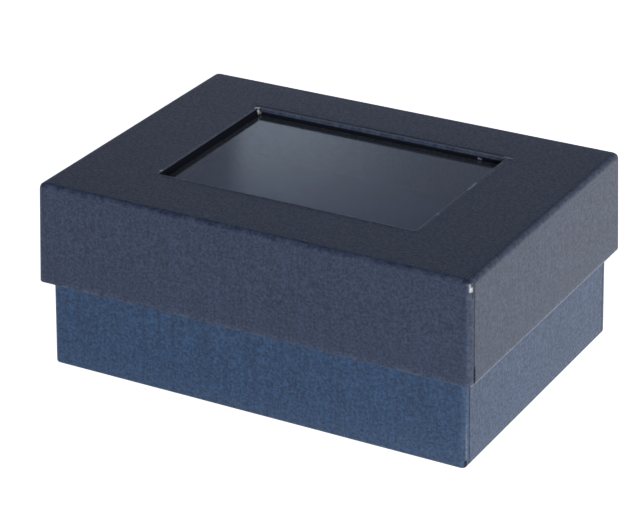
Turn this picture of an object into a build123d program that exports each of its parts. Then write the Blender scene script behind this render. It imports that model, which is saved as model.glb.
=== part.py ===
from build123d import *
import os

# A rigid gift box for one pair of cufflinks: a board base, a loose board lid with a film window, and a
# padded insert. Millimetres. +X is the length, -Y the front, +Z up, and z = 0 is the surface it stands on.

# Outside sizes
lid_length = 86.0               # at the top; the walls spread below it
lid_width = 62.0
box_height = 36.5
lid_height = 19.5
lid_spread = 0.6                # each wall of the lid stands out this far more at its rim than at the top
base_spread = 0.6               # each wall of the base stands out this far more at the bottom than at its rim
side_margin = 17.5              # from the lid's ends to the window
front_margin = 14.0             # from the lid's front to the window
back_margin = 13.0              # from the lid's back to the window
edge_radius = 1.2               # of the folded edges, on the outside
window_edge_radius = 0.5        # of the fold around the window, on the outside

# Sheets
board_thickness = 1.0
paper_thickness = 0.15
stay_thickness = 0.1
film_thickness = 0.2
lid_lining_thickness = 0.3
riser_thickness = 0.5
velvet_thickness = 0.6
foam_thickness = 8.0

# Margins of the glued sheets
rim_turn_in = 15.0              # cover paper down the inside of a rim
bottom_turn_under = 12.0        # cover paper under the base
bottom_sheet_margin = 2.5       # from the base's faces to the bottom sheet
stay_reach = 10.0               # corner tape along each wall
stay_end_gap = 1.8              # corner tape to the ends of its corner
tape_width = 5.0
tape_gap = 0.3                  # from the tapes to the turned-in paper and to each other
lining_reveal = 1.0             # the lid lining's opening stands back behind the window's edge
velvet_turn_under = 8.0

# Running and fitting clearances
lid_clearance = 0.45            # base rim to lid board, on each side
film_clearance = 0.25           # film to lid wall
lid_lining_clearance = 0.15     # card frame to lid wall
insert_clearance = 0.25         # insert to the base's mouth, on each side
riser_slot_clearance = 0.5      # around the pad's slots

# Insert
headroom = 11.45                # over the pad, under the lid
pad_corner_radius = 2.5
pad_edge_radius = 1.6
riser_fold_radius = 0.8
riser_corner_gap = 1.0
slot_length = 18.0              # along Y
slot_width = 5.0
slot_spacing = 38.0             # between the slots' centres

# Lid, from the top down. Its lengths and widths are those at the top.
lid_rim = box_height - lid_height
lid_board_top = box_height - paper_thickness
lid_board_under = lid_board_top - board_thickness
film_top = lid_board_under - paper_thickness
film_under = film_top - film_thickness
lid_lining_under = film_under - lid_lining_thickness
lid_wall = paper_thickness + board_thickness
lid_board_length = lid_length - 2 * paper_thickness
lid_board_width = lid_width - 2 * paper_thickness
lid_bay_length = lid_length - 2 * lid_wall
lid_bay_width = lid_width - 2 * lid_wall
window_length = lid_length - 2 * side_margin
window_width = lid_width - front_margin - back_margin
window_shift = (front_margin - back_margin) / 2
film_length = lid_bay_length - 2 * film_clearance
film_width = lid_bay_width - 2 * film_clearance

# Base, from the bottom up. The lid's lining rests on its rim. Its lengths and widths are those at the rim.
wall_stack = 2 * paper_thickness + board_thickness
base_length = lid_bay_length - 2 * lid_clearance
base_width = lid_bay_width - 2 * lid_clearance
base_height = lid_lining_under
foot_length = base_length + 2 * base_spread
foot_width = base_width + 2 * base_spread
base_board_length = base_length - 2 * paper_thickness
base_board_width = base_width - 2 * paper_thickness
base_board_low = 2 * paper_thickness
base_board_high = base_height - paper_thickness
base_floor = base_board_low + board_thickness
base_bay_length = base_length - 2 * wall_stack
base_bay_width = base_width - 2 * wall_stack
lining_top = base_floor + paper_thickness

# Insert, standing on the base's lining
insert_length = base_bay_length - 2 * insert_clearance
insert_width = base_bay_width - 2 * insert_clearance
pad_top = base_height - headroom
foam_top = pad_top - velvet_thickness
riser_top = foam_top - foam_thickness

corners = {"front_left": (-1, -1), "front_right": (1, -1), "back_left": (-1, 1), "back_right": (1, 1)}
slot_places = [Pos(side * slot_spacing / 2, 0, 0) for side in (-1, 1)]


def block(length, width, low, high, radius=0, rounded=None, lean=0, datum=0):
    """A box about the Z axis, of that length and width at the height datum, whose walls lean out going down.

    lean is how far per millimetre. radius rounds the upright edges, and with them the "top" or "bottom" ones.
    """
    ends = [Pos(0, 0, z) * Rectangle(length + 2 * lean * (datum - z), width + 2 * lean * (datum - z))
            for z in (low, high)]
    body = loft(ends, ruled=True)
    if radius:
        bottom_edges, edges, top_edges = body.edges().group_by(Axis.Z)
        if rounded == "top":
            edges += top_edges
        if rounded == "bottom":
            edges += bottom_edges
        body = fillet(edges, radius)
    return body


def lid_block(length, width, low, high, radius=0, rounded=None):
    return block(length, width, low, high, radius, rounded, lid_spread / lid_height, box_height)


def base_block(length, width, low, high, radius=0, rounded=None):
    return block(length, width, low, high, radius, rounded, base_spread / base_height, base_height)


def ring(make_block, length, width, wall, low, high):
    """A rectangular sleeve with its wall inside length and width."""
    outer = make_block(length, width, low, high)
    return outer - make_block(length - 2 * wall, width - 2 * wall, low - 1, high + 1)


def corner_stays(make_block, length, width, low, high):
    """The corner tapes of a board shell, lying flush in its outer face."""
    radius = edge_radius - paper_thickness
    inner = make_block(length - 2 * stay_thickness, width - 2 * stay_thickness, low, high,
                       radius - stay_thickness)
    skin = make_block(length, width, low, high, radius) - inner
    stays = {}
    for place, (side_x, side_y) in corners.items():
        reach = Box(2 * stay_reach, 2 * stay_reach, high - low - 2 * stay_end_gap)
        stays[place] = skin & Pos(side_x * length / 2, side_y * width / 2, (low + high) / 2) * reach
    return stays


def without(body, pieces):
    for piece in pieces:
        body -= piece
    return body


def window_block(growth, low, high):
    """A block as large as the window, and larger by growth on each side."""
    opening = block(window_length + 2 * growth, window_width + 2 * growth, low, high)
    return Pos(0, window_shift, 0) * opening


def with_window(body, growth, radius):
    """Cuts the window, larger by growth on each side, and rounds its upper edge."""
    body -= window_block(growth, film_top, box_height + 1)
    top_edges = body.edges().group_by(Axis.Z)[-1]
    lip = top_edges.filter_by(lambda edge: abs(edge.center().X) < window_length / 2 + 1
                              and abs(edge.center().Y - window_shift) < window_width / 2 + 1)
    return fillet(lip, radius)


def make_base_board(stays):
    shell = base_block(base_board_length, base_board_width, base_board_low, base_board_high,
                       edge_radius - paper_thickness, "bottom")
    bay = base_block(base_board_length - 2 * board_thickness, base_board_width - 2 * board_thickness,
                     base_floor, base_height)
    return without(shell - bay, stays.values())


def make_base_wrap():
    outside = base_block(base_length, base_width, paper_thickness, base_height, edge_radius, "bottom")
    board = base_block(base_board_length, base_board_width, base_board_low, base_board_high,
                       edge_radius - paper_thickness, "bottom")
    mouth = base_block(base_bay_length, base_bay_width, base_board_high - 1, base_height + 1)
    bare_underside = block(foot_length - 2 * bottom_turn_under, foot_width - 2 * bottom_turn_under,
                           0, base_board_low)
    turn_in = ring(base_block, base_bay_length + 2 * paper_thickness, base_bay_width + 2 * paper_thickness,
                   paper_thickness, base_height - rim_turn_in, base_height)
    return outside - board - mouth - bare_underside + turn_in


def make_base_bottom_sheet():
    return block(foot_length - 2 * bottom_sheet_margin, foot_width - 2 * bottom_sheet_margin,
                 0, paper_thickness)


def make_base_lining():
    length = base_bay_length + 2 * paper_thickness
    width = base_bay_width + 2 * paper_thickness
    sheet = base_block(length, width, base_floor, base_height - rim_turn_in)
    return sheet - base_block(base_bay_length, base_bay_width, lining_top, base_height)


def make_lid_board(stays):
    shell = lid_block(lid_board_length, lid_board_width, lid_rim + paper_thickness, lid_board_top,
                      edge_radius - paper_thickness, "top")
    bay = lid_block(lid_bay_length, lid_bay_width, lid_rim, lid_board_under)
    shell = with_window(shell - bay, paper_thickness, window_edge_radius - paper_thickness)
    return without(shell, stays.values())


def make_lid_wrap():
    outside = lid_block(lid_length, lid_width, lid_rim, box_height, edge_radius, "top")
    outside = with_window(outside, 0, window_edge_radius)
    board = lid_block(lid_board_length, lid_board_width, lid_rim + paper_thickness, lid_board_top,
                      edge_radius - paper_thickness, "top")
    board = with_window(board, paper_thickness, window_edge_radius - paper_thickness)
    mouth = lid_block(lid_bay_length - 2 * paper_thickness, lid_bay_width - 2 * paper_thickness,
                      lid_rim - 1, lid_rim + 1)
    turn_in = ring(lid_block, lid_bay_length, lid_bay_width, paper_thickness, lid_rim, lid_rim + rim_turn_in)
    margins = block(film_length - 2 * (tape_width + tape_gap), film_width - 2 * (tape_width + tape_gap),
                    film_top, lid_board_under)
    margins -= window_block(0, film_top - 1, box_height)
    return outside - board - mouth + turn_in + margins


def make_window_film():
    return block(film_length, film_width, film_under, film_top)


def make_film_tapes():
    long_tape = Box(film_length, tape_width, paper_thickness)
    short_tape = Box(tape_width, film_width - 2 * (tape_width + tape_gap), paper_thickness)
    reach_x = (film_length - tape_width) / 2
    reach_y = (film_width - tape_width) / 2
    level = (film_top + lid_board_under) / 2
    return {"front": Pos(0, -reach_y, level) * long_tape, "back": Pos(0, reach_y, level) * long_tape,
            "left": Pos(-reach_x, 0, level) * short_tape, "right": Pos(reach_x, 0, level) * short_tape}


def make_lid_lining():
    frame = block(lid_bay_length - 2 * lid_lining_clearance, lid_bay_width - 2 * lid_lining_clearance,
                  lid_lining_under, film_under)
    return frame - window_block(lining_reveal, lid_lining_under - 1, film_under + 1)


def cut_slots(body, low, high, growth):
    for place in slot_places:
        body -= place * block(slot_width + 2 * growth, slot_length + 2 * growth, low, high)
    return body


def make_insert_riser():
    fold = Pos(0, 0, (lining_top + riser_top) / 2) * Box(insert_length, insert_width, riser_top - lining_top)
    fold = fillet(fold.edges().group_by(Axis.Z)[-1], riser_fold_radius)
    panel_under = riser_top - riser_thickness
    fold -= block(insert_length - 2 * riser_thickness, insert_width - 2 * riser_thickness, 0, panel_under)
    notch = 2 * (riser_thickness + riser_corner_gap)
    for side_x, side_y in corners.values():
        corner = Pos(side_x * insert_length / 2, side_y * insert_width / 2, 0)
        fold -= corner * block(notch, notch, 0, pad_top)
    return cut_slots(fold, panel_under - 1, riser_top + 1, riser_slot_clearance)


def pad(shrink, low, high):
    """The pad's outer shape, or that of the foam inside it when shrink is the velvet's thickness."""
    body = block(insert_length - 2 * shrink, insert_width - 2 * shrink, low, high, pad_corner_radius - shrink)
    return fillet(body.edges().group_by(Axis.Z)[-1], pad_edge_radius - shrink)


def velvet_underside():
    """The velvet's margin under the foam."""
    margin = block(insert_length, insert_width, riser_top, riser_top + velvet_thickness, pad_corner_radius)
    return margin - block(insert_length - 2 * velvet_turn_under, insert_width - 2 * velvet_turn_under,
                          0, pad_top)


def make_insert_foam():
    foam = pad(velvet_thickness, riser_top, foam_top) - velvet_underside()
    return cut_slots(foam, riser_top - 1, pad_top, velvet_thickness)


def make_insert_velvet():
    cover = pad(0, riser_top, pad_top) - pad(velvet_thickness, riser_top - 1, foam_top) + velvet_underside()
    for place in slot_places:
        cover += place * block(slot_width + 2 * velvet_thickness, slot_length + 2 * velvet_thickness,
                               riser_top, foam_top)
    return cut_slots(cover, riser_top - 1, pad_top + 1, 0)


base_stays = corner_stays(base_block, base_board_length, base_board_width, base_board_low, base_board_high)
lid_stays = corner_stays(lid_block, lid_board_length, lid_board_width, lid_rim + paper_thickness,
                         lid_board_top)

nodes = {
    "base_board": make_base_board(base_stays),
    "base_wrap": make_base_wrap(),
    "base_bottom_sheet": make_base_bottom_sheet(),
    "base_lining": make_base_lining(),
    "lid_board": make_lid_board(lid_stays),
    "lid_wrap": make_lid_wrap(),
    "window_film": make_window_film(),
    "lid_lining": make_lid_lining(),
    "insert_riser": make_insert_riser(),
    "insert_foam": make_insert_foam(),
    "insert_velvet": make_insert_velvet(),
}
for place in corners:
    nodes["base_corner_stay_" + place] = base_stays[place]
    nodes["lid_corner_stay_" + place] = lid_stays[place]
for side, tape in make_film_tapes().items():
    nodes["film_tape_" + side] = tape

os.makedirs("parts", exist_ok=True)
for name, solid in nodes.items():
    export_step(solid, "parts/" + name + ".step")
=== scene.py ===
import math

import bmesh
import bpy
from mathutils import Matrix, Quaternion, Vector, noise


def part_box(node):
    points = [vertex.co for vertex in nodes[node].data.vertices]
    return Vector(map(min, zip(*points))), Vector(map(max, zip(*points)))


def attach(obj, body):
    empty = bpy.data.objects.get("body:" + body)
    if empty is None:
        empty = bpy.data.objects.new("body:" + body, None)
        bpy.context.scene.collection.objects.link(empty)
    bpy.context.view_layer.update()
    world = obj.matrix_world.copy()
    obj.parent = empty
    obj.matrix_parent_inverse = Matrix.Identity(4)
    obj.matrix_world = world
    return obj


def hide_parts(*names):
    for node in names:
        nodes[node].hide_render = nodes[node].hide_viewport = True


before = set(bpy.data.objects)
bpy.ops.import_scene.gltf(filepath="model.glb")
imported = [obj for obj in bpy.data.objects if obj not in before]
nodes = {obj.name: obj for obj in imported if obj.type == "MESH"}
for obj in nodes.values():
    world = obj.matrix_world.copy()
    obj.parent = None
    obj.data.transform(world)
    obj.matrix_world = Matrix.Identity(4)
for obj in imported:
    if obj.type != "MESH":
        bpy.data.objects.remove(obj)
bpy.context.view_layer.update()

# A cufflink box in navy cover paper: a board base, a loose board lid with a film window and a velvet
# pad. Metres. +X is the length, -Y the front, +Z up, and z = 0 is the table.

MM = 0.001

# Lid cover
LID_LENGTH = 86 * MM            # at the top; the walls spread below it
LID_WIDTH = 62 * MM
WINDOW_LENGTH = 51 * MM
WINDOW_WIDTH = 35 * MM
WINDOW_SHIFT = 0.5 * MM         # towards the back, from the lid's middle
WINDOW_DEPTH = 1.3 * MM         # board and two papers
MARGIN_LENGTH = 72.6 * MM       # of the paper turned in under the board around the window
MARGIN_WIDTH = 48.6 * MM
FOLD_RADIUS = 1.1 * MM          # of the box's outer edges
WINDOW_FOLD = 0.65 * MM
WINDOW_CORNER = 1.3 * MM        # the front right one, where the paper was cut short and bridges the corner
FOOT_FOLD = 0.6 * MM
RIM_FOLD = 0.28 * MM
WALL = 1.3 * MM                 # board and the papers on both sides
TURN_IN = 15 * MM
PAPER = 0.14 * MM
RIDGE_WIDTH = 0.75 * MM         # the lip that the die left around the window
CREASE_WIDTH = 0.4 * MM
CREASE_SLOPE = 0.25 * MM
CREASE_DEPTH = 0.08 * MM        # below the lip
TOP_DROP = 0.04 * MM            # of the rest of the top, below the lip
SLIT = 0.3 * MM                 # from each side to the corner of the window, where the paper was cut

# Base cover
BASE_LENGTH = 82.8 * MM         # at the rim
BASE_WIDTH = 58.8 * MM
BASE_SPREAD = 0.6 * MM          # each wall stands out this far more at the table than at the rim
TURN_UNDER = 12 * MM

# Paper seams on the ends of lid and base
SEAM_SETBACK = 1.45 * MM        # from the corner to the edge of the end's paper
SEAM_GAP = 0.4 * MM
SEAM_SIDE = 0.05 * MM
SEAM_DEPTH = 0.06 * MM
STRIP_DEPTH = 0.04 * MM
SETTLE = 0.03 * MM
SETTLE_SPACING = 12 * MM
CELL = 5 * MM                   # of the grid that lets the sheets settle
LID_LEVELS = (1.3 * MM, 6 * MM, 11 * MM)        # of that grid, up from each cover's lower end
BASE_LEVELS = (5 * MM, 10 * MM, 15 * MM, 20 * MM, 25 * MM, 30 * MM, 33 * MM)

# Film and velvet
FILM_WAVE = 0.012 * MM
PAD_SHRINK = 0.15 * MM          # before it swells
PAD_ROOM = (0.2 * MM, 0.2 * MM, 0.5 * MM)       # how far it may swell and still clear the walls and film
PAD_VOXEL = 1.0 * MM
PAD_CORNER = 2.4 * MM
PAD_EDGE = 1.6 * MM
VELVET = 0.5 * MM
VELVET_MARGIN = 8 * MM
SLOT_SIZE = (5 * MM, 18 * MM)
SLOT_REACH = 19 * MM            # from the pad's middle to each slot's
SLOT_CORNER = 0.8 * MM
SIMULATION_SCALE = 8            # the cloth solver works at the size of a cushion

# Cover paper's surface
FLECK = 0.5                     # millimetres
FIBRE_LENGTH = 2.5
FIBRE_WIDTH = 0.4
# How dark the paper is painted in shade: in the crease behind the window, in the window's reveal and left
# lip's fold, and in the seams' grooves, where it is partly a dark glue line
CREASE_SHADE = 0.45
REVEAL_SHADE = 1.0
SEAM_SHADE = 0.3
# A pale tone, for folds worn by rubbing and for painted highlights
PALE_RUB_AND_HIGHLIGHT = "97A3B6"
# The colour of small white spots at some corners
WHITE_SPOT_COLOUR = "F4F5F8"
# Colour of that painted shade
SHADE_AND_GLUE_COLOUR = "1A1C24"

# Marks on the paper: boxes (middle, half size, strength), in millimetres. They are pale rubs, painted
# highlights, small white spots and dark marks of painted shade.
MARK_EDGE = 0.25 * MM
# The lid's first box, along the lower rim of its right end, and the long thin lines along the window's lips
# are painted highlights; the others are short pale dashes and spots
LID_RUBS_AND_HIGHLIGHTS = (((43.6, 0, 17.1), (0.2, 31, 0.2), 0.7), ((25.9, 4.2, 36.4), (0.2, 1.7, 0.2), 1),
            ((25.8, -9.3, 36.4), (0.15, 0.3, 0.2), 1), ((26.2, 19.0, 36.5), (0.8, 0.12, 0.1), 1),
            ((26.1, 0.5, 36.5), (0.3, 16.5, 0.2), 0.12), ((20, -17.2, 36.4), (4, 0.1, 0.1), 0.4),
            ((20.8, 18, 35.5), (0.3, 0.1, 0.08), 1), ((0, 18.2, 36.6), (25.5, 0.1, 0.02), 0.6),
            ((-26.3, 0.5, 36.65), (0.1, 17.5, 0.02), 0.5))
# Small white spots at the lid's front right top corner and at the window's back left and front left corners
LID_WHITE_SPOTS = (((42.85, -30.6, 34.8), (0.15, 0.15, 0.3), 1), ((42.7, -30.75, 35.6), (0.02, 0.02, 0.5), 1),
             ((-26.2, 18.2, 36.4), (0.35, 0.25, 0.1), 1), ((-25.6, 17.6, 35.9), (0.15, 0.25, 0.3), 1),
             ((-26.4, -15.9, 36.5), (0.1, 0.1, 0.1), 1))
# Painted shade in the slit where the lid's front right seam stands open at the rim, and in a short dark
# dash below that corner
LID_SHADED_GAPS = (((43.5, -30.05, 18.5), (0.2, 0.15, 1.9), 1), ((43.1, -30.3, 33.8), (0.02, 0.02, 0.5), 1))
# A painted highlight along the fold of the base's front right corner
BASE_FOLD_HIGHLIGHT = (((42.1, -29.2, 9.5), (0.2, 0.02, 7.5), 1),)
BASE_WHITE_SPOTS = ()
# Painted shade in the notch at the foot of the base's front right corner
BASE_SHADED_GAPS = (((41.9, -29.3, 0.9), (0.2, 0.15, 0.6), 1),)

# Camera, around the object
CAMERA_AZIMUTH = math.radians(29.09)
CAMERA_ELEVATION = math.radians(25.42)
CAMERA_ROLL = math.radians(-0.353)
CAMERA_DISTANCE = 489.3 * MM
CAMERA_TARGET = Vector((-2.98, 0.62, 16.39)) * MM
CAMERA_LENS = 149.37

# Light
ROOM_LEVEL = 0.9                # low around the box
ROOM_COLOUR = "ECEEF6"
ROOM_EDGE = (0.18, 0.31)        # heights on the unit sphere between which it fades out
WALL_LEVEL = 0.04               # all around
WALL_COLOUR = "CDD9F2"
OVERHEAD_LEVEL = 0.36
OVERHEAD_EDGE = (0.75, 0.95)    # heights between which it fades in
PANEL_LEVEL = 0.5               # behind the box
PANEL_COLOUR = "DCEDF8"
PANEL_EDGE = (-31.3, -30.7, 0, 1)       # degrees from +Y, and the levels at both ends
PANEL_FADE = (-30.2, -26.0, 1, 0.1)
PANEL_TOP = (22.4, 24.8, 1, 0.1)
GLOW_LEVEL = 0.236              # a soft round patch over the panel's edge
GLOW_COLOUR = "C2CEF4"
GLOW_PLACE = (-29, 25.4)                # turn and rise, in degrees
GLOW_EDGE = (17, 8)                     # degrees from its middle to where it starts and where it is full
# The floor's glow in mirrors and the film is a painted pool of light across its diagonal
FLOOR_FADE = (-60 * MM, 30 * MM)        # across the floor's diagonal, from dim to full in a mirror
FLOOR_DIM = 0.55


# Modelling

def start_block(name, length, width, low, high):
    """A block about the Z axis, left in edit mode."""
    bpy.ops.object.select_all(action="DESELECT")
    bpy.ops.mesh.primitive_cube_add(size=1, location=(0, 0, (low + high) / 2),
                                    scale=(length, width, high - low))
    bpy.ops.object.transform_apply(location=True, rotation=True, scale=True)
    piece = bpy.context.object
    piece.name = name
    piece.data.name = name
    bpy.ops.object.mode_set(mode="EDIT")
    return piece


def select_faces(piece, wanted):
    """Selects the faces for which wanted(middle, normal) is true."""
    bpy.ops.mesh.select_mode(type="FACE")
    bpy.ops.mesh.select_all(action="DESELECT")
    mesh = bmesh.from_edit_mesh(piece.data)
    for face in mesh.faces:
        if wanted(face.calc_center_median(), face.normal):
            face.select_set(True)
    bmesh.update_edit_mesh(piece.data)


def select_edges(piece, wanted):
    """Selects the edges for which wanted(middle, direction, angle between the faces) is true."""
    bpy.ops.mesh.select_mode(type="EDGE")
    bpy.ops.mesh.select_all(action="DESELECT")
    mesh = bmesh.from_edit_mesh(piece.data)
    for edge in mesh.edges:
        first, second = (corner.co for corner in edge.verts)
        if wanted((first + second) / 2, (second - first).normalized(), edge.calc_face_angle(0)):
            edge.select_set(True)
    bmesh.update_edit_mesh(piece.data)


def resize(length_factor, width_factor):
    """Resizes what is selected about the Z axis."""
    bpy.ops.transform.resize(value=(length_factor, width_factor, 1), center_override=(0, 0, 0))


def move(x, y, z):
    bpy.ops.transform.translate(value=(x, y, z))


def extrude(height):
    bpy.ops.mesh.extrude_region_move(TRANSFORM_OT_translate={"value": (0, 0, height)})


def round_edges(radius, segments):
    bpy.ops.mesh.bevel(offset=radius, segments=segments, affect="EDGES")


def inset_to(old_size, new_size):
    """Insets the selected rectangle of one size to another, and returns the new size."""
    border = min(old - new for old, new in zip(old_size, new_size)) / 2
    bpy.ops.mesh.inset(thickness=border)
    inner = [old - 2 * border for old in old_size]
    resize(new_size[0] / inner[0], new_size[1] / inner[1])
    return new_size


def cut(piece, wanted, place, normal):
    """Cuts the wanted faces along a plane."""
    select_faces(piece, wanted)
    bpy.ops.mesh.bisect(plane_co=place, plane_no=normal, threshold=1e-7)


def everywhere(middle, normal):
    return True


def darken(piece, amount):
    """Writes the shading attribute on what is selected: how far the paper there lies in the dark, painted
    in shade; in the seams' grooves it is partly a dark glue line.
    """
    mesh = bmesh.from_edit_mesh(piece.data)
    dark = mesh.verts.layers.float.get("seam_and_shade") or mesh.verts.layers.float.new("seam_and_shade")
    for vertex in mesh.verts:
        if vertex.select:
            vertex[dark] = amount


def finish_paper(piece):
    """Turns the sheet into a skin of the paper's thickness, smooth over its folds."""
    bpy.ops.object.mode_set(mode="OBJECT")
    skin = piece.modifiers.new("paper", "SOLIDIFY")
    skin.thickness = PAPER
    skin.offset = -1
    skin.use_even_offset = True
    bpy.ops.object.modifier_apply(modifier=skin.name)
    bpy.ops.object.shade_smooth_by_angle(angle=math.radians(35))
    normals = piece.modifiers.new("normals", "WEIGHTED_NORMAL")
    normals.keep_sharp = True
    bpy.ops.object.modifier_apply(modifier=normals.name)


def mark_edges(piece, distances):
    """The attribute edge: 1 along a fold, down to 0 where the sheet is flat.

    distances(place) gives how far a point is from each face of the box, so the second smallest
    is how far it is from a fold.
    """
    near = 0.3 * FOLD_RADIUS
    attribute = piece.data.attributes.new("edge", "FLOAT", "POINT")
    for index, vertex in enumerate(piece.data.vertices):
        distance = sorted(abs(gap) for gap in distances(vertex.co))[1]
        attribute.data[index].value = max(0, min(1, 1 - (distance - near) / (FOLD_RADIUS - near)))


def settle(piece):
    """Moves the sheet's points a little, as glued paper never lies quite flat."""
    for vertex in piece.data.vertices:
        shift = (noise.noise(vertex.co / SETTLE_SPACING) - 1) / 2
        vertex.co += vertex.normal * shift * SETTLE


def grid(piece, levels):
    """Cuts the whole sheet into cells along X and Y, and at each level."""
    low, high = piece_box(piece)
    for axis in (0, 1):
        normal = [0, 0, 0]
        normal[axis] = 1
        count = round((high[axis] - low[axis]) / CELL)
        for step in range(1, count):
            place = [0, 0, 0]
            place[axis] = low[axis] + step * (high[axis] - low[axis]) / count
            cut(piece, everywhere, place, normal)
    for level in levels:
        cut(piece, everywhere, (0, 0, level), (0, 0, 1))


def piece_box(piece):
    mesh = bmesh.from_edit_mesh(piece.data)
    places = [vertex.co for vertex in mesh.verts]
    low = [min(place[axis] for place in places) for axis in range(3)]
    high = [max(place[axis] for place in places) for axis in range(3)]
    return low, high


def from_window(place):
    """How far a point stands outside the window's upright faces."""
    return max(abs(place.x) - WINDOW_LENGTH / 2, abs(place.y - WINDOW_SHIFT) - WINDOW_WIDTH / 2)


def seam_and_shade(piece, side_x, side_y, half_length, half_width, slant, top):
    """The edge of the end's paper beside one corner, over the paper that comes round from the side."""
    def end_wall(middle, normal):
        return normal.x * side_x > 0.9 and middle.x * side_x > half_length - FOLD_RADIUS

    across = (0, side_y, slant)
    steps = (0, SEAM_SIDE, SEAM_SIDE + SEAM_GAP, 2 * SEAM_SIDE + SEAM_GAP)
    for step in steps:
        place = (0, side_y * (half_width - SEAM_SETBACK + step), top)
        cut(piece, end_wall, place, across)

    def beyond(distance):
        def wanted(middle, normal):
            line = half_width - SEAM_SETBACK + slant * (top - middle.z)
            return end_wall(middle, normal) and middle.y * side_y > line + distance
        return wanted

    def between(near, far):
        def wanted(middle, normal):
            return beyond(near)(middle, normal) and not beyond(far)(middle, normal)
        return wanted

    select_faces(piece, beyond(steps[3]))
    move(-side_x * STRIP_DEPTH, 0, 0)
    select_faces(piece, between(steps[1], steps[2]))
    move(-side_x * SEAM_DEPTH, 0, 0)
    # The groove is darkened: partly a dark glue line, partly painted shade in the groove.
    darken(piece, SEAM_SHADE)


# Pieces

def make_lid_cover():
    low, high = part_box("lid_wrap")
    lean = (high.x - LID_LENGTH / 2) / (high.z - low.z)
    piece = start_block("lid_cover", LID_LENGTH, LID_WIDTH, low.z, high.z)
    rim = (2 * high.x, 2 * high.y)
    select_faces(piece, lambda middle, normal: normal.z < -0.5)
    resize(rim[0] / LID_LENGTH, rim[1] / LID_WIDTH)
    mouth = [size - 2 * WALL for size in rim]
    inset_to(rim, mouth)
    extrude(TURN_IN)
    resize(1 - 2 * lean * TURN_IN / mouth[0], 1 - 2 * lean * TURN_IN / mouth[1])
    bpy.ops.mesh.delete(type="FACE")

    def top_face(middle, normal):
        return normal.z > 0.5 and middle.z > high.z - MM / 10

    select_faces(piece, top_face)
    move(0, 0, -TOP_DROP)
    size = (LID_LENGTH, LID_WIDTH)
    crease = RIDGE_WIDTH + 2 * CREASE_SLOPE + CREASE_WIDTH
    levels = ((crease, WINDOW_SHIFT, 0), (crease - CREASE_SLOPE, 0, 0), (RIDGE_WIDTH + CREASE_SLOPE, 0, 0),
              (RIDGE_WIDTH, 0, TOP_DROP), (0, 0, 0))
    for reach, shift, rise in levels:
        size = inset_to(size, (WINDOW_LENGTH + 2 * reach, WINDOW_WIDTH + 2 * reach))
        move(0, shift, rise)
    extrude(-WINDOW_DEPTH)
    extrude(0)
    resize(MARGIN_LENGTH / WINDOW_LENGTH, MARGIN_WIDTH / WINDOW_WIDTH)
    move(0, -WINDOW_SHIFT * MARGIN_WIDTH / WINDOW_WIDTH, 0)
    bpy.ops.mesh.delete(type="FACE")

    def bridged_corner(middle, direction, angle):
        return abs(direction.z) > 0.9 and abs(from_window(middle)) < MM / 10 and middle.x > 0 > middle.y

    select_edges(piece, bridged_corner)
    round_edges(WINDOW_CORNER, 6)

    def outer_edge(middle, direction, angle):
        upright = abs(direction.z) > 0.9 and abs(middle.x) > high.x - WALL / 2 and angle > 1
        top = middle.z > high.z - MM / 10 and angle > 1 and abs(direction.z) < 0.1
        return upright or top and from_window(middle) > crease + MM

    select_edges(piece, outer_edge)
    round_edges(FOLD_RADIUS, 6)
    select_edges(piece, lambda middle, direction, angle: abs(middle.z - low.z) < MM / 100 and angle > 1)
    round_edges(RIM_FOLD, 3)
    select_edges(piece, lambda middle, direction, angle: abs(middle.z - high.z) < MM / 100 and angle > 1)
    round_edges(WINDOW_FOLD, 5)

    window_floor = high.z - WINDOW_DEPTH
    grid(piece, [low.z + level for level in LID_LEVELS])

    def reveal(middle, normal):
        return window_floor + MM / 10 < middle.z < high.z - MM / 50 and from_window(middle) < WINDOW_FOLD

    for side in (-1, 1):
        cut(piece, reveal, (side * (WINDOW_LENGTH / 2 - SLIT), 0, 0), (1, 0, 0))
        cut(piece, reveal, (0, WINDOW_SHIFT + side * (WINDOW_WIDTH / 2 - SLIT), 0), (0, 1, 0))

    def low_reveal(middle, normal):
        return reveal(middle, normal) and middle.z < high.z - WINDOW_FOLD

    def slit(middle, normal):
        return low_reveal(middle, normal) and abs(middle.x) > WINDOW_LENGTH / 2 - SLIT \
            and abs(middle.y - WINDOW_SHIFT) > WINDOW_WIDTH / 2 - SLIT

    def back_crease(middle, normal):
        behind = middle.y - WINDOW_SHIFT - WINDOW_WIDTH / 2 - RIDGE_WIDTH - CREASE_SLOPE
        return normal.z > 0.5 and 0 < behind < CREASE_WIDTH and from_window(middle) < crease

    select_faces(piece, slit)
    bpy.ops.mesh.delete(type="FACE")
    # The crease behind the window is pressed down and painted in shade, along the back only.
    select_faces(piece, back_crease)
    move(0, 0, TOP_DROP - CREASE_DEPTH)
    darken(piece, CREASE_SHADE)

    # The reveal's walls and the fold of the window's left lip are painted in shade, near black.
    def left_fold(middle, normal):
        return reveal(middle, normal) and normal.x > 0.6

    select_faces(piece, lambda middle, normal: low_reveal(middle, normal) or left_fold(middle, normal))
    darken(piece, REVEAL_SHADE)
    for side_x in (-1, 1):
        for side_y in (-1, 1):
            seam_and_shade(piece, side_x, side_y, LID_LENGTH / 2, LID_WIDTH / 2, lean, high.z)
    bpy.ops.object.mode_set(mode="OBJECT")
    settle(piece)
    finish_paper(piece)

    def distances(place):
        spread = lean * (high.z - place.z)
        return (LID_LENGTH / 2 + spread - abs(place.x), LID_WIDTH / 2 + spread - abs(place.y),
                high.z - place.z, place.z - low.z, from_window(place))

    mark_edges(piece, distances)
    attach(piece, "lid")
    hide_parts("lid_wrap")
    return piece


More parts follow.
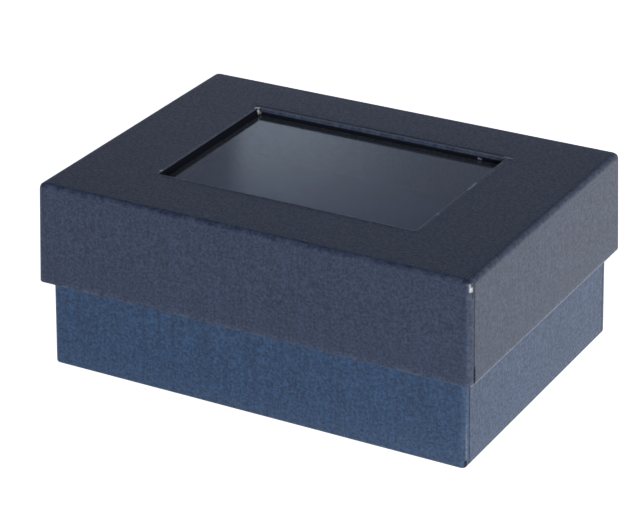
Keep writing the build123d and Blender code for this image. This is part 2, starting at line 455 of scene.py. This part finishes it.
def make_base_cover():
    low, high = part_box("base_wrap")
    lean = BASE_SPREAD / high.z
    spread = 2 * lean * (high.z - low.z)
    piece = start_block("base_cover", BASE_LENGTH, BASE_WIDTH, low.z, high.z)
    foot = (BASE_LENGTH + spread, BASE_WIDTH + spread)
    select_faces(piece, lambda middle, normal: normal.z < -0.5)
    resize(foot[0] / BASE_LENGTH, foot[1] / BASE_WIDTH)
    inset_to(foot, [size - 2 * TURN_UNDER for size in foot])
    bpy.ops.mesh.delete(type="FACE")
    select_faces(piece, lambda middle, normal: normal.z > 0.5)
    mouth = inset_to((BASE_LENGTH, BASE_WIDTH), (BASE_LENGTH - 2 * WALL, BASE_WIDTH - 2 * WALL))
    extrude(-TURN_IN)
    resize(1 + 2 * lean * TURN_IN / mouth[0], 1 + 2 * lean * TURN_IN / mouth[1])
    bpy.ops.mesh.delete(type="FACE")

    def outer_edge(middle, direction, angle):
        return abs(direction.z) > 0.9 and abs(middle.x) > high.x - WALL / 2 and angle > 1

    select_edges(piece, outer_edge)
    round_edges(FOLD_RADIUS, 6)
    select_edges(piece, lambda middle, direction, angle: middle.z < low.z + MM / 100 and angle > 1)
    round_edges(FOOT_FOLD, 4)
    select_edges(piece, lambda middle, direction, angle: abs(middle.z - high.z) < MM / 100 and angle > 1)
    round_edges(RIM_FOLD, 3)
    grid(piece, [low.z + level for level in BASE_LEVELS])
    for side_x in (-1, 1):
        for side_y in (-1, 1):
            seam_and_shade(piece, side_x, side_y, BASE_LENGTH / 2, BASE_WIDTH / 2, 0, high.z)
    bpy.ops.object.mode_set(mode="OBJECT")
    settle(piece)
    finish_paper(piece)

    def distances(place):
        spread = lean * (high.z - place.z)
        return (BASE_LENGTH / 2 + spread - abs(place.x), BASE_WIDTH / 2 + spread - abs(place.y),
                high.z - place.z, place.z - low.z)

    mark_edges(piece, distances)
    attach(piece, "base")
    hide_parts("base_wrap")
    return piece


def make_film_sheet():
    low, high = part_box("window_film")
    thickness = high.z - low.z
    bpy.ops.object.select_all(action="DESELECT")
    bpy.ops.mesh.primitive_grid_add(x_subdivisions=84, y_subdivisions=60, size=1, location=(0, 0, high.z))
    bpy.ops.transform.resize(value=(high.x - low.x, high.y - low.y, 1))
    bpy.ops.object.transform_apply(location=True, rotation=True, scale=True)
    piece = bpy.context.object
    piece.name = "film_sheet"
    for vertex in piece.data.vertices:
        freedom = max(0, min(1, -from_window(vertex.co) / (WINDOW_WIDTH / 2)))
        wave = noise.noise(Vector((vertex.co.x / (30 * MM), vertex.co.y / (22 * MM), 0.4)))
        vertex.co.z += freedom * wave * FILM_WAVE
    skin = piece.modifiers.new("film", "SOLIDIFY")
    skin.thickness = thickness
    skin.offset = -1
    bpy.ops.object.modifier_apply(modifier=skin.name)
    bpy.ops.object.shade_smooth_by_angle(angle=math.radians(35))
    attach(piece, "lid")
    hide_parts("window_film")
    return piece


def cut_slot(piece, side):
    """Cuts one slot through the pad with a rounded block."""
    low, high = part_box("insert_velvet")
    growth = 2 * PAD_SHRINK
    cutter = start_block("slot_cutter", SLOT_SIZE[0] + growth, SLOT_SIZE[1] + growth,
                         low.z - MM, high.z + MM)
    select_faces(cutter, everywhere)
    move(side * SLOT_REACH, 0, 0)
    select_edges(cutter, lambda middle, direction, angle: abs(direction.z) > 0.9)
    round_edges(SLOT_CORNER, 3)
    bpy.ops.object.mode_set(mode="OBJECT")
    bpy.ops.object.select_all(action="DESELECT")
    bpy.context.view_layer.objects.active = piece
    piece.select_set(True)
    hole = piece.modifiers.new("slot", "BOOLEAN")
    hole.object = cutter
    hole.operation = "DIFFERENCE"
    bpy.ops.object.modifier_apply(modifier=hole.name)
    bpy.data.objects.remove(cutter)


def swell(piece, low):
    """Lets the pad swell as stuffed cloth does, held along its underside."""
    piece.data.transform(Matrix.Scale(SIMULATION_SCALE, 4))
    before = [vertex.co.copy() for vertex in piece.data.vertices]
    held = piece.vertex_groups.new(name="held")
    floor = (low.z + 1.5 * MM) * SIMULATION_SCALE
    held.add([vertex.index for vertex in piece.data.vertices if vertex.co.z < floor], 1, "REPLACE")
    cloth = piece.modifiers.new("cloth", "CLOTH")
    cloth.settings.vertex_group_mass = held.name
    cloth.settings.use_pressure = True
    cloth.settings.uniform_pressure_force = 4
    cloth.settings.effector_weights.gravity = 0
    cloth.settings.tension_stiffness = 30
    cloth.settings.compression_stiffness = 30
    for frame_number in range(1, 21):
        bpy.context.scene.frame_set(frame_number)
    bpy.ops.object.modifier_apply(modifier=cloth.name)
    for vertex, place in zip(piece.data.vertices, before):
        for axis, room in enumerate(PAD_ROOM):
            cap = room * SIMULATION_SCALE
            vertex.co[axis] = place[axis] + cap * math.tanh((vertex.co[axis] - place[axis]) / cap)
    piece.data.transform(Matrix.Scale(1 / SIMULATION_SCALE, 4))
    bpy.context.scene.frame_set(1)


def make_velvet_pad():
    low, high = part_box("insert_velvet")
    length = high.x - low.x - 2 * PAD_SHRINK
    width = high.y - low.y - 2 * PAD_SHRINK
    piece = start_block("velvet_pad", length, width, low.z, high.z - PAD_SHRINK)
    select_edges(piece, lambda middle, direction, angle: abs(direction.z) > 0.9)
    round_edges(PAD_CORNER, 4)
    select_edges(piece, lambda middle, direction, angle: middle.z > high.z - MM and angle > 1)
    round_edges(PAD_EDGE, 4)
    bpy.ops.object.mode_set(mode="OBJECT")
    for side in (-1, 1):
        cut_slot(piece, side)
    remesh = piece.modifiers.new("remesh", "REMESH")
    remesh.mode = "VOXEL"
    remesh.voxel_size = PAD_VOXEL
    bpy.ops.object.modifier_apply(modifier=remesh.name)
    swell(piece, low)
    bpy.ops.object.mode_set(mode="EDIT")
    select_faces(piece, lambda middle, normal: middle.z < low.z + MM / 5 and normal.z < -0.5
                 and abs(middle.x) < length / 2 - VELVET_MARGIN
                 and abs(middle.y) < width / 2 - VELVET_MARGIN)
    bpy.ops.mesh.delete(type="FACE")
    bpy.ops.object.mode_set(mode="OBJECT")
    smooth = piece.modifiers.new("smooth", "SUBSURF")
    smooth.levels = 1
    smooth.render_levels = 1
    bpy.ops.object.modifier_apply(modifier=smooth.name)
    skin = piece.modifiers.new("velvet", "SOLIDIFY")
    skin.thickness = VELVET
    skin.offset = -1
    bpy.ops.object.modifier_apply(modifier=skin.name)
    bpy.ops.object.shade_smooth()
    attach(piece, "insert")
    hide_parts("insert_velvet")
    return piece


# Materials

def linear(hex_colour):
    """An sRGB hex colour as linear RGBA."""
    parts = [int(hex_colour[start:start + 2], 16) / 255 for start in (0, 2, 4)]
    return [part / 12.92 if part <= 0.04045 else ((part + 0.055) / 1.055) ** 2.4 for part in parts] + [1]


def per(size):
    """The scale at which a texture repeats about once in that many millimetres."""
    return 1 / (size * MM)


def node(tree, kind, inputs, **settings):
    """Adds a node. An input is a value, a socket, or a node, which stands for its first output."""
    made = tree.nodes.new("ShaderNode" + kind)
    for name, value in settings.items():
        setattr(made, name, value)
    for name, value in inputs.items():
        if isinstance(value, bpy.types.Node):
            value = value.outputs[0]
        if isinstance(value, bpy.types.NodeSocket):
            tree.links.new(value, made.inputs[name])
        else:
            made.inputs[name].default_value = value
    return made


def new_tree(name):
    """A new material and its tree, with only the output in it."""
    material = bpy.data.materials.new(name)
    material.use_nodes = True
    tree = material.node_tree
    tree.nodes.clear()
    return material, tree


def give(pieces, material):
    for piece in pieces:
        piece.data.materials.clear()
        piece.data.materials.append(material)


def near_marks(tree, place, marks):
    """How strong a mark is at each place. The marks are boxes in millimetres, with soft edges."""
    ragged = node(tree, "TexNoise", {"Vector": place, "Scale": per(0.5), "Detail": 2})
    total = 0
    for middle, half_size, strength in marks:
        offset = node(tree, "VectorMath", {0: place, 1: Vector(middle) * MM}, operation="SUBTRACT")
        span = node(tree, "VectorMath", {0: offset}, operation="ABSOLUTE")
        outside = node(tree, "VectorMath", {0: span, 1: Vector(half_size) * MM}, operation="SUBTRACT")
        gap = node(tree, "VectorMath", {0: outside, 1: (0, 0, 0)}, operation="MAXIMUM")
        distance = node(tree, "VectorMath", {0: gap}, operation="LENGTH").outputs["Value"]
        inside = node(tree, "MapRange", {"Value": distance, "From Max": MARK_EDGE,
                                         "To Min": strength, "To Max": 0})
        total = node(tree, "Math", {0: inside, 1: total}, operation="MAXIMUM")
    broken = node(tree, "MapRange", {"Value": ragged, "From Min": 0.3, "From Max": 0.6, "To Min": 0.4})
    return node(tree, "Math", {0: total, 1: broken}, operation="MULTIPLY")


def cover_paper(name, light, dark, rubs_and_highlights, white_spots, shaded_gaps):
    """Pearl cover paper: dyed navy, coated matt with fine mica, and glued over board.

    It looks soft and even, with a speckle of tiny flecks and a haze at low angles. Its folds are worn paler
    by rubbing, and some folds and the window's lips carry painted highlights; a few corners have small
    white spots. The seams' grooves, the crease behind the window, the window's reveal and the dark marks
    are painted in shade, the grooves partly as a dark glue line.
    """
    material, tree = new_tree(name)
    place = node(tree, "TexCoord", {}).outputs["Object"]
    grain = node(tree, "TexNoise", {"Vector": place, "Scale": per(FLECK), "Detail": 3, "Roughness": 0.7})
    for axis in range(3):
        scale = [per(FIBRE_WIDTH)] * 3
        scale[axis] = per(FIBRE_LENGTH)
        stretched = node(tree, "Mapping", {"Vector": place, "Scale": scale})
        fibres = node(tree, "TexNoise", {"Vector": stretched, "Scale": 1, "Detail": 2})
        grain = node(tree, "Math", {0: fibres, 1: 0.15, 2: grain}, operation="MULTIPLY_ADD")
    tone = node(tree, "MapRange", {"Value": grain, "From Min": 0.58, "From Max": 0.88})
    dyed = node(tree, "MixRGB", {"Fac": tone, "Color1": linear(dark), "Color2": linear(light)})
    drawn = node(tree, "Mapping", {"Vector": place, "Scale": (per(1.2), per(1.2), per(30))})
    cloud = node(tree, "TexNoise", {"Vector": drawn, "Scale": 1, "Detail": 3})
    hazy = node(tree, "MapRange", {"Value": cloud, "From Min": 0.3, "From Max": 0.7,
                                   "To Min": 0.88, "To Max": 1.12})
    clouded = node(tree, "VectorMath", {0: dyed, 1: hazy}, operation="MULTIPLY")
    edge = node(tree, "Attribute", {}, attribute_name="edge").outputs["Fac"]
    rub = node(tree, "TexNoise", {"Vector": place, "Scale": per(1.2), "Detail": 4})
    patchy = node(tree, "MapRange", {"Value": rub, "From Min": 0.4, "From Max": 0.75, "To Max": 0.2})
    wear = node(tree, "Math", {0: edge, 1: patchy}, operation="MULTIPLY")
    worn = node(tree, "MixRGB", {"Fac": wear, "Color1": clouded, "Color2": linear(PALE_RUB_AND_HIGHLIGHT)})
    rub_and_highlight_marks = near_marks(tree, place, rubs_and_highlights)
    white_spot_marks = near_marks(tree, place, white_spots)
    rubbed_and_highlit = node(tree, "MixRGB", {"Fac": rub_and_highlight_marks, "Color1": worn, "Color2": linear(PALE_RUB_AND_HIGHLIGHT)})
    finished = node(tree, "MixRGB", {"Fac": white_spot_marks, "Color1": rubbed_and_highlit, "Color2": linear(WHITE_SPOT_COLOUR)})
    # The shading attribute and the dark marks set how far the paper is painted in shade; there the shader
    # is mixed towards a plain dark diffuse one, which drops the sheen too. In the seams' grooves it is
    # partly a dark glue line.
    seam_and_shade = node(tree, "Attribute", {}, attribute_name="seam_and_shade").outputs["Fac"]
    shade_and_glue_line = node(tree, "Math", {0: seam_and_shade, 1: near_marks(tree, place, shaded_gaps)}, operation="MAXIMUM")
    marked = node(tree, "Math", {0: rub_and_highlight_marks, 1: white_spot_marks}, operation="MAXIMUM")
    in_the_dark = node(tree, "Math", {0: shade_and_glue_line, 1: marked}, operation="SUBTRACT", use_clamp=True)
    roughness = node(tree, "MapRange", {"Value": grain, "From Min": 0.55, "From Max": 0.9,
                                        "To Min": 0.5, "To Max": 0.36})
    bump = node(tree, "Bump", {"Height": grain, "Distance": 0.05 * MM, "Strength": 0.85})
    shader = node(tree, "BsdfPrincipled", {
        "Base Color": finished, "Roughness": roughness, "Normal": bump, "IOR": 1.49})
    # Plain dark diffuse shader: painted shade
    gap = node(tree, "BsdfDiffuse", {"Color": linear(SHADE_AND_GLUE_COLOUR)})
    surface = node(tree, "MixShader", {0: in_the_dark, 1: shader, 2: gap})
    node(tree, "OutputMaterial", {"Surface": surface})
    return material


def clear_film():
    """Clear PET sheet, cast smooth: it mirrors what is pale around it and shows the dark behind."""
    material, tree = new_tree("clear_pet_film")
    place = node(tree, "TexCoord", {}).outputs["Object"]
    haze = node(tree, "TexNoise", {"Vector": place, "Scale": per(3), "Detail": 3})
    roughness = node(tree, "MapRange", {"Value": haze, "To Min": 0.01, "To Max": 0.06})
    ripple = node(tree, "TexNoise", {"Vector": place, "Scale": per(0.6), "Detail": 2})
    bump = node(tree, "Bump", {"Height": ripple, "Distance": 0.002 * MM, "Strength": 1.0})
    shader = node(tree, "BsdfPrincipled", {
        "Base Color": linear("E3EAF3"), "Roughness": roughness, "Normal": bump, "IOR": 1.57,
        "Transmission Weight": 0.94})
    node(tree, "OutputMaterial", {"Surface": shader})
    return material


def velvet():
    """Rayon velvet, woven and brushed: deep navy, with a pale sheen where the pile leans away."""
    material, tree = new_tree("rayon_velvet")
    place = node(tree, "TexCoord", {}).outputs["Object"]
    pile = node(tree, "TexNoise", {"Vector": place, "Scale": per(0.25), "Detail": 2})
    nap = node(tree, "TexNoise", {"Vector": place, "Scale": per(7), "Detail": 3})
    lean = node(tree, "MapRange", {"Value": nap, "From Min": 0.35, "From Max": 0.65})
    colour = node(tree, "MixRGB", {"Fac": lean, "Color1": linear("2A3A66"), "Color2": linear("3C4F82")})
    bump = node(tree, "Bump", {"Height": pile, "Distance": 0.15 * MM, "Strength": 0.8})
    shader = node(tree, "BsdfPrincipled", {
        "Base Color": colour, "Roughness": 0.9, "Normal": bump,
        "Sheen Weight": 0.8, "Sheen Roughness": 0.35, "Sheen Tint": linear("8A93A8")})
    node(tree, "OutputMaterial", {"Surface": shader})
    return material


def fibrous(name, colour, fleck, fibre_length, roughness):
    """Uncoated paper or board, pressed from pulp: matt, with short fibres of another tone."""
    material, tree = new_tree(name)
    place = node(tree, "TexCoord", {}).outputs["Object"]
    pulp = node(tree, "TexNoise", {"Vector": place, "Scale": per(0.6), "Detail": 5})
    stretched = node(tree, "Mapping", {"Vector": place, "Rotation": (0.4, 0.3, 0.6),
                                       "Scale": (per(fibre_length), per(0.2), per(0.2))})
    fibres = node(tree, "TexNoise", {"Vector": stretched, "Scale": 1, "Detail": 2})
    flecks = node(tree, "MapRange", {"Value": fibres, "From Min": 0.55, "From Max": 0.72})
    both = node(tree, "Math", {0: pulp, 1: flecks}, operation="MULTIPLY")
    tint = node(tree, "MixRGB", {"Fac": both, "Color1": linear(colour), "Color2": linear(fleck)})
    bump = node(tree, "Bump", {"Height": pulp, "Distance": 0.04 * MM, "Strength": 0.5})
    shader = node(tree, "BsdfPrincipled", {
        "Base Color": tint, "Roughness": roughness, "Normal": bump, "IOR": 1.5})
    node(tree, "OutputMaterial", {"Surface": shader})
    return material


def tape_plastic():
    """Double-sided tissue tape: a milky film with a wet look."""
    material, tree = new_tree("double_sided_tape")
    place = node(tree, "TexCoord", {}).outputs["Object"]
    glue = node(tree, "TexNoise", {"Vector": place, "Scale": per(1.5), "Detail": 3})
    colour = node(tree, "MixRGB", {"Fac": glue, "Color1": linear("D8D5C8"), "Color2": linear("ECEAE2")})
    shader = node(tree, "BsdfPrincipled", {
        "Base Color": colour, "Roughness": 0.3, "Alpha": 0.7, "IOR": 1.48})
    node(tree, "OutputMaterial", {"Surface": shader})
    return material


def foam():
    """Polyurethane foam, blown and sliced: open cells under half a millimetre across."""
    material, tree = new_tree("cut_foam")
    place = node(tree, "TexCoord", {}).outputs["Object"]
    cells = node(tree, "TexVoronoi", {"Vector": place, "Scale": per(0.5)})
    colour = node(tree, "MixRGB", {"Fac": cells, "Color1": linear("2A2B2E"), "Color2": linear("55565A")})
    bump = node(tree, "Bump", {"Height": cells, "Distance": 0.3 * MM, "Strength": 1.0})
    shader = node(tree, "BsdfPrincipled", {"Base Color": colour, "Roughness": 0.95, "Normal": bump})
    node(tree, "OutputMaterial", {"Surface": shader})
    return material


# Stage

def set_camera():
    back = Vector((math.sin(CAMERA_AZIMUTH) * math.cos(CAMERA_ELEVATION),
                   -math.cos(CAMERA_AZIMUTH) * math.cos(CAMERA_ELEVATION),
                   math.sin(CAMERA_ELEVATION)))
    aim = (-back).to_track_quat("-Z", "Y") @ Quaternion((0, 0, 1), CAMERA_ROLL)
    bpy.ops.object.camera_add(location=CAMERA_TARGET + back * CAMERA_DISTANCE, rotation=aim.to_euler())
    camera = bpy.context.object
    camera.data.lens = CAMERA_LENS
    camera.data.sensor_width = 36
    camera.data.sensor_fit = "HORIZONTAL"
    camera.data.clip_start = 0.01
    bpy.context.scene.camera = camera


def seen_directly(tree):
    """1 for what the camera, a mirror or clear film shows, 0 for light on the object."""
    path = node(tree, "LightPath", {})
    mirrored = node(tree, "Math", {0: path.outputs["Is Camera Ray"], 1: path.outputs["Is Glossy Ray"]},
                    operation="MAXIMUM")
    return node(tree, "Math", {0: mirrored, 1: path.outputs["Is Transmission Ray"]}, operation="MAXIMUM")


def add_floor():
    """White studio paper: matt, and white to the camera and in the film. It keeps the box's shadow. In
    mirrors its glow is a painted pool of light, brighter to the right and back.
    """
    bpy.ops.object.select_all(action="DESELECT")
    bpy.ops.mesh.primitive_plane_add(size=8)
    floor = bpy.context.object
    floor.name = "floor"
    material, tree = new_tree("white_studio_paper")
    grey = node(tree, "BsdfPrincipled", {"Base Color": linear("E6E6E6"), "Roughness": 0.9,
                                         "Specular IOR Level": 0.0})
    place = node(tree, "TexCoord", {}).outputs["Object"]
    # Painted pool of light for mirrors: dim towards the front left, full to the right and back
    side = node(tree, "VectorMath", {0: place, 1: (1, 1, 0)}, operation="DOT_PRODUCT").outputs["Value"]
    mirrored = node(tree, "MapRange", {
        "Value": side, "From Min": FLOOR_FADE[0], "From Max": FLOOR_FADE[1],
        "To Min": FLOOR_DIM, "To Max": 1.0}, interpolation_type="SMOOTHSTEP")
    level = node(tree, "Math", {0: mirrored, 1: node(tree, "LightPath", {}).outputs["Is Camera Ray"]},
                 operation="MAXIMUM")
    lift = node(tree, "Math", {0: seen_directly(tree), 1: level}, operation="MULTIPLY")
    glow = node(tree, "Emission", {"Strength": lift})
    both = node(tree, "AddShader", {0: grey, 1: glow})
    node(tree, "OutputMaterial", {"Surface": both})
    give([floor], material)


def set_world():
    """A room that is pale low down and dim above, with a cool panel and a soft glow behind the box.

    The camera sees it white.
    """
    world = bpy.data.worlds.new("studio")
    world.use_nodes = True
    tree = world.node_tree
    tree.nodes.clear()
    generated = node(tree, "TexCoord", {}).outputs["Generated"]
    direction = node(tree, "SeparateXYZ", {0: generated}).outputs
    room = node(tree, "MapRange", {
        "Value": direction["Z"], "From Min": ROOM_EDGE[0], "From Max": ROOM_EDGE[1],
        "To Min": ROOM_LEVEL, "To Max": 0}, interpolation_type="SMOOTHSTEP")
    turn = node(tree, "Math", {0: direction["X"], 1: direction["Y"]}, operation="ARCTAN2")
    rise = node(tree, "Math", {0: direction["Z"]}, operation="ARCSINE")
    panel = PANEL_LEVEL
    for angle, (start, end, start_level, end_level) in ((turn, PANEL_EDGE), (turn, PANEL_FADE),
                                                        (rise, PANEL_TOP)):
        fade = node(tree, "MapRange", {
            "Value": angle, "From Min": math.radians(start), "From Max": math.radians(end),
            "To Min": start_level, "To Max": end_level}, interpolation_type="SMOOTHSTEP")
        panel = node(tree, "Math", {0: fade, 1: panel}, operation="MULTIPLY")
    panel_colour = node(tree, "VectorMath", {0: linear(PANEL_COLOUR)[:3], 1: panel}, operation="MULTIPLY")
    overhead = node(tree, "MapRange", {
        "Value": direction["Z"], "From Min": OVERHEAD_EDGE[0], "From Max": OVERHEAD_EDGE[1],
        "To Min": 0, "To Max": OVERHEAD_LEVEL}, interpolation_type="SMOOTHSTEP")
    around = node(tree, "Math", {0: room, 1: overhead}, operation="ADD")
    room_colour = node(tree, "VectorMath", {0: linear(ROOM_COLOUR)[:3], 1: around}, operation="MULTIPLY")
    wall_colour = Vector(linear(WALL_COLOUR)[:3]) * WALL_LEVEL
    walls = node(tree, "VectorMath", {0: room_colour, 1: wall_colour}, operation="ADD")
    glow_turn, glow_rise = (math.radians(angle) for angle in GLOW_PLACE)
    glow_way = (math.sin(glow_turn) * math.cos(glow_rise), math.cos(glow_turn) * math.cos(glow_rise),
                math.sin(glow_rise))
    toward = node(tree, "VectorMath", {0: generated, 1: glow_way}, operation="DOT_PRODUCT").outputs["Value"]
    glow = node(tree, "MapRange", {
        "Value": toward, "From Min": math.cos(math.radians(GLOW_EDGE[0])),
        "From Max": math.cos(math.radians(GLOW_EDGE[1])), "To Max": GLOW_LEVEL},
        interpolation_type="SMOOTHSTEP")
    glow_colour = node(tree, "VectorMath", {0: linear(GLOW_COLOUR)[:3], 1: glow}, operation="MULTIPLY")
    behind = node(tree, "VectorMath", {0: panel_colour, 1: glow_colour}, operation="ADD")
    lit = node(tree, "VectorMath", {0: behind, 1: walls}, operation="ADD")
    camera_ray = node(tree, "LightPath", {}).outputs["Is Camera Ray"]
    seen = node(tree, "VectorMath", {0: lit, 1: camera_ray}, operation="MAXIMUM")
    light = node(tree, "Background", {"Color": seen, "Strength": 1})
    node(tree, "OutputWorld", {"Surface": light})
    bpy.context.scene.world = world


def add_softbox(name, azimuth, elevation, distance, size, level):
    """A square lamp aimed at the box. level is how bright it makes a surface that faces it."""
    turn, rise = math.radians(azimuth), math.radians(elevation)
    back = Vector((math.sin(turn) * math.cos(rise), -math.cos(turn) * math.cos(rise), math.sin(rise)))
    bpy.ops.object.light_add(type="AREA", location=back * distance,
                             rotation=(-back).to_track_quat("-Z", "Y").to_euler())
    lamp = bpy.context.object
    lamp.name = name
    lamp.data.size = size
    lamp.data.energy = level * math.pi ** 2 * distance ** 2


# Work

stays = [nodes[name] for name in nodes if "_stay_" in name]
tapes = [nodes[name] for name in nodes if name.startswith("film_tape")]

lid_cover = make_lid_cover()
base_cover = make_base_cover()
film_sheet = make_film_sheet()
velvet_pad = make_velvet_pad()

lid_paper = cover_paper("navy_lid_paper", "3C4C69", "202942", LID_RUBS_AND_HIGHLIGHTS, LID_WHITE_SPOTS, LID_SHADED_GAPS)
base_paper = cover_paper("navy_base_paper", "365A82", "1E3252", BASE_FOLD_HIGHLIGHT, BASE_WHITE_SPOTS, BASE_SHADED_GAPS)
black_card = fibrous("black_card", "17181B", "232428", 1.0, 0.75)
give([lid_cover], lid_paper)
give([base_cover, nodes["base_bottom_sheet"]], base_paper)
give([film_sheet], clear_film())
give([velvet_pad], velvet())
give([nodes["lid_board"], nodes["base_board"]], fibrous("greyboard", "9A958A", "6E6A62", 2.0, 0.85))
give(stays, fibrous("kraft_paper", "A07C55", "7F5F3E", 1.5, 0.7))
give([nodes["base_lining"]], fibrous("black_lining_paper", "131416", "1E1F22", 1.2, 0.8))
give([nodes["lid_lining"], nodes["insert_riser"]], black_card)
give(tapes, tape_plastic())
give([nodes["insert_foam"]], foam())

set_camera()
add_floor()
set_world()
add_softbox("right_lamp", 105, 8, 1.3, 0.4, 0.22)
add_softbox("front_lamp", 25, 8, 1.5, 0.4, 0.45)
add_softbox("edge_lamp", 160, 32, 1.2, 0.6, 0.045)
bpy.context.scene.view_settings.view_transform = "Standard"
